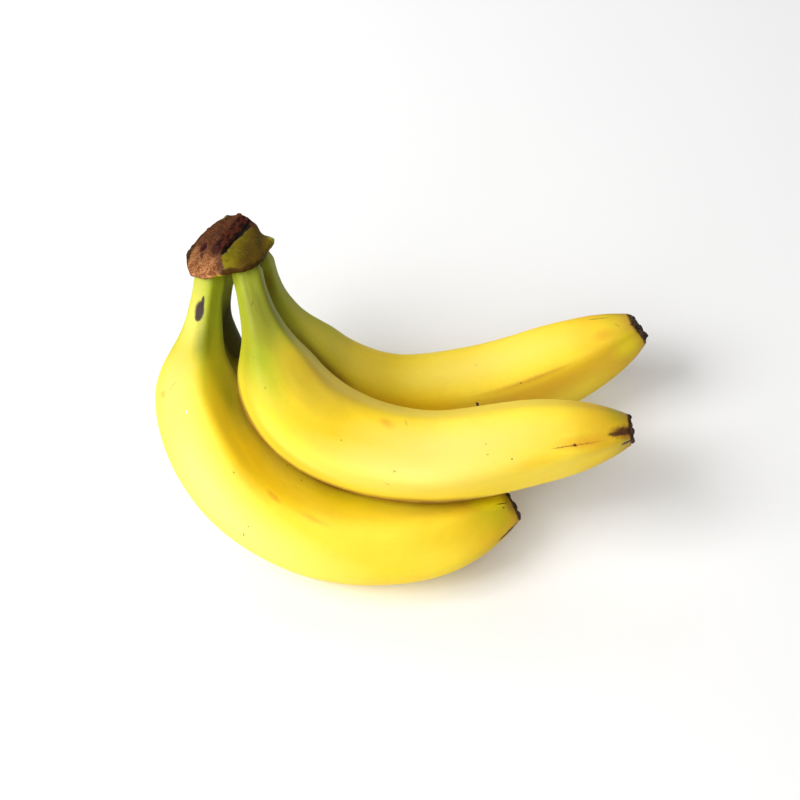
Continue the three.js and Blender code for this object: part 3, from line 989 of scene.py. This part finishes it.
# %% List the middle banana's blemishes and painted light and shade
MARKS["middle"] = [
    # Painted sheen on the lit belly.
    ("pale belly", 0.560, 288, 48.0, 10.0, 0, PAINTED_SHEEN, 0.7, 2.0, 1.2),
    # Painted sheen on the lower side.
    ("pale lower side", 0.460, 318, 60.0, 9.0, 0, paint(250, 224, 100), 0.65, 2.0, 1.2),
    # Painted sheen on the upper flat.
    ("pale upper flat", 0.650, 256, 52.0, 13.0, 0, paint(246, 216, 118), 0.65, 2.0, 1.2),
    # Painted shade on the left edge, where the skin turns under towards the left finger.
    ("warm left edge", 0.310, 334, 34.0, 5.0, 4, paint(222, 176, 26), 0.65, 2.0, 1.2),
    ("shaded shoulder", 0.180, 296, 30.0, 14.0, 0, paint(146, 150, 6), 0.8, 2.0, 1.3),
    # Painted shade on the green upper flat of the neck, which faces away from the lamps.
    ("green upper flat", 0.115, 240, 28.0, 10.0, 0, paint(112, 112, 6), 0.8, 1.5, 1.2),
    ("tan upper edge", 0.285, 222, 35.0, 7.0, 0, paint(228, 190, 60), 0.75, 2.0, 1.2),
    ("green by the ridge", 0.235, 282, 28.0, 7.0, 0, paint(196, 198, 8), 0.5, 2.0, 1.1),
    # Painted shade: a dark green line beside the ridge, as in a shallow hollow there.
    ("deep green by the ridge", 0.200, 285, 34.0, 4.6, -6, paint(146, 160, 4), 0.5, 1.5, 1.2),
    # Painted shade on the upper flat, which faces away from the lamps.
    ("golden upper flat", 0.245, 238, 36.0, 8.5, 0, paint(184, 156, 10), 0.85, 2.0, 1.3),
    ("neck scratch", 0.095, 274, 1.3, 0.25, 30, BROWN, 0.7, 0.3, 3),
    ("neck dot", 0.196, 295, 0.5, 0.5, 0, OLIVE, 0.8, 0.3, 3),
    ("shoulder dot", 0.254, 287, 0.5, 0.4, 0, BROWN, 0.5, 0.3, 3),
    ("orange blotch", 0.500, 231, 5.0, 2.2, 10, ORANGE, 0.5, 1.5, 1.2),
    ("blotch scratch", 0.546, 226, 1.6, 0.25, 60, BROWN, 0.5, 0.3, 3),
    ("belly spot", 0.537, 286, 0.7, 0.5, 0, BROWN, 0.5, 0.4, 2),
    ("belly scratch", 0.528, 306, 1.8, 0.3, 40, BROWN, 0.45, 0.4, 2),
    ("green dot", 0.716, 257, 0.5, 0.4, 0, OLIVE, 0.6, 0.3, 3),
    ("second green dot", 0.716, 271, 0.6, 0.4, 0, OLIVE, 0.6, 0.3, 3),
    ("dark dot", 0.761, 282, 0.45, 0.4, 0, DARK, 0.8, 0.2, 3),
    # Painted light: warms the shaded lower side near the end.
    ("golden lower end", 0.935, 322, 18.0, 7.0, 0, paint(255, 222, 0), 0.55, 2.0, 1.2),
    ("crack", 0.895, 279.5, 13.0, 0.4, 1, paint(150, 90, 14), 0.85, 1.4, 3),
    ("crack's halo", 0.910, 277, 17.0, 3.4, 1, paint(222, 152, 14), 0.6, 2.0, 1.2),
    ("crack's dot", 0.888, 279, 0.8, 0.6, 0, paint(96, 34, 16), 0.95, 0.3, 4),
    ("end streak's rim", 0.984, 270.5, 7.0, 3.4, 4, paint(128, 70, 12), 0.8, 2.2, 1.5),
    ("end streak", 0.989, 268.5, 5.0, 1.8, 6, paint(60, 30, 10), 0.8, 2.0, 2),
    ("streak's tail", 0.972, 273, 4.2, 0.9, 6, paint(70, 34, 12), 0.85, 1.2, 3),
    ("end patch", 0.999, 270, 1.6, 2.8, 0, paint(60, 30, 10), 0.8, 1.6, 2),
    ("lower end streak", 0.990, 311, 2.6, 1.1, 10, DARK, 0.95, 0.8, 3),
]
print("blemishes of the middle banana:", len(MARKS["middle"]))

# %% List the other bananas' blemishes and painted light and shade
MARKS["rear"] = [
    ("faint spot", 0.653, 201, 0.9, 0.6, 0, BROWN, 0.4, 0.4, 2),
    # A browned ridge with a painted shade line along it, where the flat below turns from the light.
    ("brown ridge", 0.750, 244, 30.0, 1.7, 0, paint(196, 132, 10), 0.45, 1.2, 1.2),
    ("brown ridge's end", 0.790, 243.5, 20.0, 0.9, 0, paint(176, 112, 14), 0.35, 1.0, 1.2),
    # Painted shade on the flat below the ridge, which faces down towards the middle finger.
    ("orange facet", 0.760, 264, 56.0, 9.0, 0, paint(232, 176, 8), 0.75, 2.0, 1.3),
    # Painted sheen on the lit back.
    ("pale back", 0.700, 203, 66.0, 10.0, 0, paint(252, 226, 104), 0.6, 2.0, 1.2),
    # Painted light on the neck's upper side, which faces up and back.
    ("light neck", 0.200, 212, 34.0, 11.0, 0, paint(222, 204, 52), 0.7, 2.0, 1.2),
    # Painted light on the upper side.
    ("light upper side", 0.400, 200, 40.0, 11.0, 0, paint(255, 226, 60), 0.6, 2.0, 1.2),
    ("dot on the ridge", 0.740, 243, 0.5, 0.4, 0, BROWN, 0.8, 0.3, 3),
    ("top line", 0.948, 180, 5.0, 0.4, 5, BROWN, 0.8, 0.4, 3),
    ("end scratch", 0.975, 208, 1.6, 0.3, 60, BROWN, 0.7, 0.3, 3),
    ("golden end", 0.945, 205, 12.0, 9.0, 0, paint(240, 206, 30), 0.7, 2.0, 1.2),
    ("end mottling", 0.945, 220, 6.0, 3.4, 0, ORANGE, 0.4, 3.0, 1.3),
    # Painted light on the shaded lower side near the end.
    ("light lower end", 0.972, 270, 10.0, 6.5, 0, paint(255, 228, 20), 0.75, 1.5, 1.3),
]
MARKS["under"] = [
    ("shaded neck", 0.190, 194, 36.0, 10.0, 0, paint(40, 35, 2), 0.94, 1.5, 2.0),
    ("belly bruise", 0.450, 150, 5.0, 2.6, 10, ORANGE, 0.5, 1.5, 1.2),
    ("scratch", 0.600, 60, 2.4, 0.3, 40, BROWN, 0.6, 0.4, 3),
    ("dot", 0.350, 200, 0.6, 0.5, 0, DARK, 0.8, 0.3, 3),
]
print("blemishes in all:", sum(len(marks) for marks in MARKS.values()))

# %% [markdown]
# Each banana then has a material of its own. It reads the attributes of the skin, places the peel group
# with how far the green reaches and the colour of its scuffs and their painted shade, and lays its marks
# over
# the peel one by one: blemishes, and patches of painted light and shade. A mark's ellipse is turned so
# that one of its axes points out of the skin, and that axis is at least a few millimetres long, so that the
# small dents of the skin don't leave the mark behind.


# %% Place a mark
def principled(name):
    """A new material and its Principled BSDF."""
    material = bpy.data.materials.new(name)
    material.use_nodes = True
    return material, material.node_tree.nodes["Principled BSDF"]


LEAST_DEPTH = 5


def mark_mask(tree, place, finger, mark):
    """The mask of one mark from the finger's list, placed on the straightened finger."""
    angle = math.radians(mark.degrees)
    radius = skin_radius(finger, mark.share, angle)
    centre = (radius * math.cos(angle), radius * math.sin(angle), mark.share * finger.length)
    depth = max(LEAST_DEPTH, mark.half_width)
    inputs = {"Place": place, "Centre": centre, "Turn": (-math.radians(mark.turn), 0, angle),
              "Size": (depth * MM, mark.half_width * MM, mark.half_length * MM),
              "Ragged": mark.ragged * MM, "Sharpness": mark.sharpness}
    return add(tree, "Group", inputs, node_tree=MARK).outputs["Mask"]


print("a mark reaches at least", LEAST_DEPTH, "mm in and out of the skin")

# %% Make the peel materials
GREEN_REACH = {"left": 0.30, "middle": 0.35, "rear": 0.38, "under": 0.42}
# The brown of each finger's scuffs, which also serves as painted shade in the creases between fingers.
SCUFF_SHADE_COLOURS = {"left": paint(96, 54, 6), "middle": paint(116, 58, 6), "rear": paint(118, 76, 2),
         "under": paint(96, 54, 6)}


def peel_material(finger):
    """The finger's own material: the peel, with its blemishes and its patches of painted light and shade
    laid over it one by one.
    """
    material, shader = principled("peel_" + finger.name)
    tree = material.node_tree
    place = add(tree, "Attribute", attribute_name="straight").outputs["Vector"]
    inputs = {"Place": place, "Green Reach": GREEN_REACH[finger.name], "Scuff": SCUFF_SHADE_COLOURS[finger.name]}
    for name in ("Share", "Ridge", "Touch"):
        inputs[name] = add(tree, "Attribute", attribute_name=name.lower()).outputs["Fac"]
    peel = add(tree, "Group", inputs, node_tree=PEEL).outputs
    colour = peel["Color"]
    for values in MARKS[finger.name]:
        mark = Mark(*values)
        colour = stain(tree, colour, mark_mask(tree, place, finger, mark), mark.strength, mark.colour)
    bump = add(tree, "Bump", {"Height": peel["Height"], "Strength": 0.35, "Distance": 0.15 * MM})
    feed(tree, shader, {"Base Color": colour, "Roughness": peel["Roughness"], "Normal": bump.outputs[0],
                        "Specular IOR Level": 0.4, "Subsurface Weight": 0.06,
                        "Subsurface Radius": (1.0, 0.7, 0.15), "Subsurface Scale": 2.5 * MM})
    return material


for finger in FINGERS:
    skins[finger.name].data.materials.append(peel_material(finger))
print("peel materials:", [material.name for material in bpy.data.materials if "peel" in material.name])

# %% [markdown]
# ## Crown finish
#
# Dried plant tissue is rough and never one colour. The cut face is a granular tan that turns to maroon and
# near black towards the top. The rind beside it is olive with brown bruises, the crease between them is
# painted almost black, for its dark tissue and as painted shade in the groove, and the overhanging lower
# edge has dried to dark brown. The attributes made with the shape say which colour goes where, and noise on
# object coordinates breaks each one up.

# %% Read the crown's regions
crown_rind, crown_shader = principled("crown_rind")
tree = crown_rind.node_tree
place = add(tree, "TexCoord").outputs["Object"]
region = {name: add(tree, "Attribute", attribute_name=name).outputs["Fac"] for name in REGIONS}
grit = grain(tree, place, 1300.0, 4.0)
clumps = grain(tree, place, 420.0, 4.0)
patches = grain(tree, place, 110.0, 3.0)
strands = grain(tree, place, 700.0, 3.0, stretch=(1, 0.25, 0.6))
across = add(tree, "SeparateXYZ", {"Vector": place}).outputs["X"]
print("the crown's finish reads", len(region), "attributes")

# %% Paint the cut face
TAN = paint(188, 132, 84)
TAN_PIT = paint(114, 64, 34)
TAN_CLUMP = paint(108, 58, 30)
MAROON = paint(74, 31, 17)
MAROON_PIT = paint(38, 14, 10)
MAROON_CLUMP = paint(100, 56, 31)
CUT_BRUISE = paint(74, 49, 37)

tan = blend(tree, rise(tree, grit, 0.34, 0.66), TAN_PIT, TAN)
tan = stain(tree, tan, rise(tree, clumps, 0.46, 0.66), 0.7, TAN_CLUMP)
maroon = blend(tree, rise(tree, strands, 0.42, 0.62), MAROON_PIT, MAROON)
maroon = stain(tree, maroon, rise(tree, clumps, 0.55, 0.66), 0.4, MAROON_CLUMP)
upward = calculate(tree, "ADD", region["along"], multiply(tree, patches, 0.6))
upward = rise(tree, upward, 0.34, 0.72)
sunken_part = calculate(tree, "MULTIPLY_ADD", region["sunken"], 0.2, 0.8)
dark = multiply(tree, upward, sunken_part)
above_foot = multiply(tree, rise(tree, region["along"], 0.12, 0.3), region["sunken"])
dark = calculate(tree, "ADD", dark, above_foot, clamp=True)
cut_colour = stain(tree, blend(tree, dark, tan, maroon), region["bruise"], 0.75, CUT_BRUISE)
print("nodes after the cut face:", len(tree.nodes))

# %% Paint the rind and the edges
# Each pair of places along X says where a change is nothing and where it is full.
OLIVE_RIND = paint(124, 110, 16)
BROWN_RIND = paint(90, 68, 12)
RIND_SPOT = paint(66, 50, 12)
DRIED_EDGE = paint(62, 37, 6)
SKIN_EDGE = paint(46, 32, 14)
CREASE_DARK_AND_SHADE = paint(18, 13, 7)
BROWN_STARTS = (-62 * MM, -55 * MM)
BROWN_STOPS = (-53 * MM, -57 * MM)
DRY_STOPS = (-54 * MM, -58 * MM)
RAGGED_ACROSS = 14 * MM

rightward = calculate(tree, "ADD", across, multiply(tree, patches, RAGGED_ACROSS))
browned = rise(tree, rightward, *BROWN_STARTS)
browned = multiply(tree, browned, rise(tree, across, *BROWN_STOPS))
rind_colour = blend(tree, browned, OLIVE_RIND, BROWN_RIND)
rind_colour = stain(tree, rind_colour, rise(tree, clumps, 0.52, 0.66), 0.5, RIND_SPOT)
colour = blend(tree, rise(tree, region["cut"], 0.35, 0.6), rind_colour, cut_colour)
dried = multiply(tree, rise(tree, region["rim"], 0.1, 0.8), rise(tree, across, *DRY_STOPS))
colour = stain(tree, colour, dried, 0.85, DRIED_EDGE)
colour = stain(tree, colour, region["skin_edge"], 0.9, SKIN_EDGE)
# The crease is laid almost black, for its dark tissue and as painted shade in its groove.
colour = blend(tree, rise(tree, region["crease"], 0.2, 0.7), colour, CREASE_DARK_AND_SHADE)
print("nodes after the edges:", len(tree.nodes))

# %% Mark the crown and give it a surface
# What each mark is, its centre and half size in millimetres, its turn about the upright in degrees, its
# colour, how strong it is, how ragged and how sharp its edge.
CROWN_MARKS = [
    ("tan shoulder", (-84.0, 38.0, 100.0), (3.4, 4.2, 2.8), 0, paint(178, 122, 76), 0.5, 5.0, 1.3),
    ("dry brown foot", (-84.6, 27.2, 101.0), (4.0, 2.6, 2.6), 0, paint(120, 72, 38), 0.6, 2.2, 1.5),
    ("purple sap stain", (-80.0, 37.6, 103.3), (2.0, 3.2, 2.0), 0, paint(44, 14, 20), 0.95, 1.8, 3),
    ("second sap stain", (-80.6, 33.0, 104.0), (1.2, 2.0, 1.2), 0, paint(66, 28, 22), 0.8, 1.4, 3),
    ("stain at the crease's foot", (-75.4, 33, 107.2), (2.4, 4.2, 2.0), 20, paint(60, 32, 26), 0.85,
     1.8, 2),
    ("end of the neck's skin", (-72.2, 19.8, 104.3), (4.2, 2.4, 1.9), 0, paint(150, 132, 24), 0.95, 1.0, 4),
    ("upper crack", (-59.6, 42.8, 103.6), (1.5, 0.5, 1.6), 40, paint(30, 27, 8), 0.95, 0.6, 4),
    ("middle crack", (-58.2, 40.6, 103.8), (1.5, 0.55, 1.6), -30, paint(28, 24, 8), 0.95, 0.6, 4),
    ("lower crack", (-58.9, 38.4, 104.0), (1.8, 0.55, 1.6), 15, paint(32, 28, 8), 0.95, 0.8, 4),
    ("scaly rind", (-59.2, 40.8, 103.8), (3.4, 5.0, 3.0), 0, paint(82, 72, 14), 0.6, 3.5, 1.5),
    ("red-brown edge", (-62.0, 51.5, 102.0), (1.6, 4.5, 2.0), 20, paint(84, 44, 26), 0.8, 1.0, 2),
    ("bruised rim", (-68.0, 21.5, 107.3), (3.6, 1.4, 1.6), 0, paint(72, 44, 12), 0.7, 1.4, 2),
    ("greenish corner", (-74.6, 57.8, 97.6), (2.6, 2.4, 2.0), 0, paint(140, 132, 60), 0.8, 1.4, 2),
    ("green lip", (-53.6, 44.6, 100), (2.6, 3.4, 2.2), 0, paint(150, 146, 40), 0.85, 1.2, 2),
]

for _, centre, size, turn, mark_colour, strength, ragged, sharpness in CROWN_MARKS:
    inputs = {"Place": place, "Centre": Vector(centre) * MM, "Turn": (0, 0, math.radians(turn)),
              "Size": Vector(size) * MM, "Ragged": ragged * MM, "Sharpness": sharpness}
    mask = add(tree, "Group", inputs, node_tree=MARK).outputs["Mask"]
    colour = stain(tree, colour, mask, strength, mark_colour)
rough = calculate(tree, "MULTIPLY_ADD", region["cut"], 0.25, 0.6)
height = calculate(tree, "ADD", grit, clumps)
height = multiply(tree, height, calculate(tree, "ADD", region["cut"], 0.15))
bump = add(tree, "Bump", {"Height": height, "Strength": 0.9, "Distance": 0.5 * MM})
feed(tree, crown_shader, {"Base Color": colour, "Roughness": rough, "Normal": bump.outputs[0],
                          "Specular IOR Level": 0.06})
crown.data.materials.clear()
crown.data.materials.append(crown_rind)
print("crown finish:", crown.data.materials[0].name, "with", len(CROWN_MARKS), "marks")

# %% [markdown]
# ## Dried flower finish
#
# The blossom ends are the darkest thing on the bunch: almost black in the folds and a dusty brown on the
# high spots. Two sizes of noise and a strong bump are enough at this scale.

# %% Finish the blossom ends
FOLD_BLACK = paint(34, 20, 14)
FOLD_BROWN = paint(86, 58, 38)
FLOWER_DUST = paint(124, 92, 62)

dried_flower, flower_shader = principled("dried_flower")
tree = dried_flower.node_tree
place = add(tree, "TexCoord").outputs["Object"]
folds = grain(tree, place, 700.0, 3.0)
crumbs = grain(tree, place, 2200.0, 3.0)
colour = blend(tree, rise(tree, folds, 0.4, 0.65), FOLD_BLACK, FOLD_BROWN)
colour = stain(tree, colour, rise(tree, crumbs, 0.5, 0.7), 0.5, FLOWER_DUST)
rough = calculate(tree, "MULTIPLY_ADD", folds, 0.2, 0.65)
bump = add(tree, "Bump", {"Height": crumbs, "Strength": 0.6, "Distance": 0.2 * MM})
feed(tree, flower_shader, {"Base Color": colour, "Roughness": rough, "Normal": bump.outputs[0],
                           "Specular IOR Level": 0.3})
for flower in flowers.values():
    flower.data.materials.clear()
    flower.data.materials.append(dried_flower)
print("blossom ends finished:", len(flowers))

# %% [markdown]
# ## Floor and light
#
# Fruit on a pale table looks best in soft light that comes mostly from one side. The strongest lamp here
# stands high on the left, and weaker ones in front, low down and behind fill the shadows. The flats that
# face the strong lamp shine and those that face away are in shade, so the five-sided section reads clearly.
# The floor glows very faintly, as a lit table would. It isn't part of the object.

# %% Lay the floor
FLOOR_HALF = 4.0
FLOOR_DROP = 0.05 * MM
FLOOR_GREY = (0.86, 0.86, 0.86, 1)
PLAIN_WHITE = (1, 1, 1, 1)

floor_shape = bmesh.new()
bmesh.ops.create_grid(floor_shape, x_segments=1, y_segments=1, size=FLOOR_HALF)
bmesh.ops.translate(floor_shape, verts=floor_shape.verts, vec=(0, 0, -FLOOR_DROP))
floor = finished(floor_shape, "floor", smooth=False)
pale_floor, floor_shader = principled("pale_floor")
feed(pale_floor.node_tree, floor_shader, {"Base Color": FLOOR_GREY, "Roughness": 0.9,
                                          "Emission Color": PLAIN_WHITE, "Emission Strength": 0.04})
floor.data.materials.append(pale_floor)
print("the floor is", 2 * FLOOR_HALF, "m wide")

# %% Light the stage
# Each lamp's name, the direction it stands in, its width in metres and its power in watts.
LAMPS = [
    ("key", (-0.66, -0.24, 0.71), 0.7, 12.0),
    ("front", (-0.35, -0.61, 0.71), 0.7, 5.0),
    ("low front", (-0.48, -0.84, 0.26), 0.7, 3.6),
    ("low left", (-0.91, -0.33, 0.26), 0.7, 2.4),
    ("front right", (0.12, -0.7, 0.71), 0.7, 1.8),
    ("behind left", (-0.4, 0.7, 0.55), 0.8, 4.0),
    ("behind right", (0.35, 0.61, 0.71), 0.8, 3.2),
]
LAMP_DISTANCE = 1.2
SKY_STRENGTH = 0.03


def soft_lamp(name, direction, width, watts):
    """A square lamp that shines at the bunch from a direction."""
    data = bpy.data.lights.new(name, "AREA")
    data.energy = watts
    data.size = width
    lamp = bpy.data.objects.new(name, data)
    away = Vector(direction).normalized()
    lamp.location = CAMERA_AIM + away * LAMP_DISTANCE
    lamp.rotation_mode = "QUATERNION"
    lamp.rotation_quaternion = (-away).to_track_quat("-Z", "Y")
    bpy.context.scene.collection.objects.link(lamp)


for values in LAMPS:
    soft_lamp(*values)
world = bpy.data.worlds.new("studio")
world.use_nodes = True
feed(world.node_tree, world.node_tree.nodes["Background"], {"Color": PLAIN_WHITE, "Strength": SKY_STRENGTH})
bpy.context.scene.world = world
bpy.context.scene.view_settings.view_transform = "Standard"

# %% [markdown]
# ## Hand over
#
# Each plain solid is hidden, and every finished piece that stands for one moves with the part's one body.

# %% Tie the pieces to the part
for finger in FINGERS:
    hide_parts("banana_" + finger.name)
    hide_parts("blossom_end_" + finger.name)
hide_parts("crown")
for piece in [crown, *skins.values(), *flowers.values()]:
    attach(piece, "root")
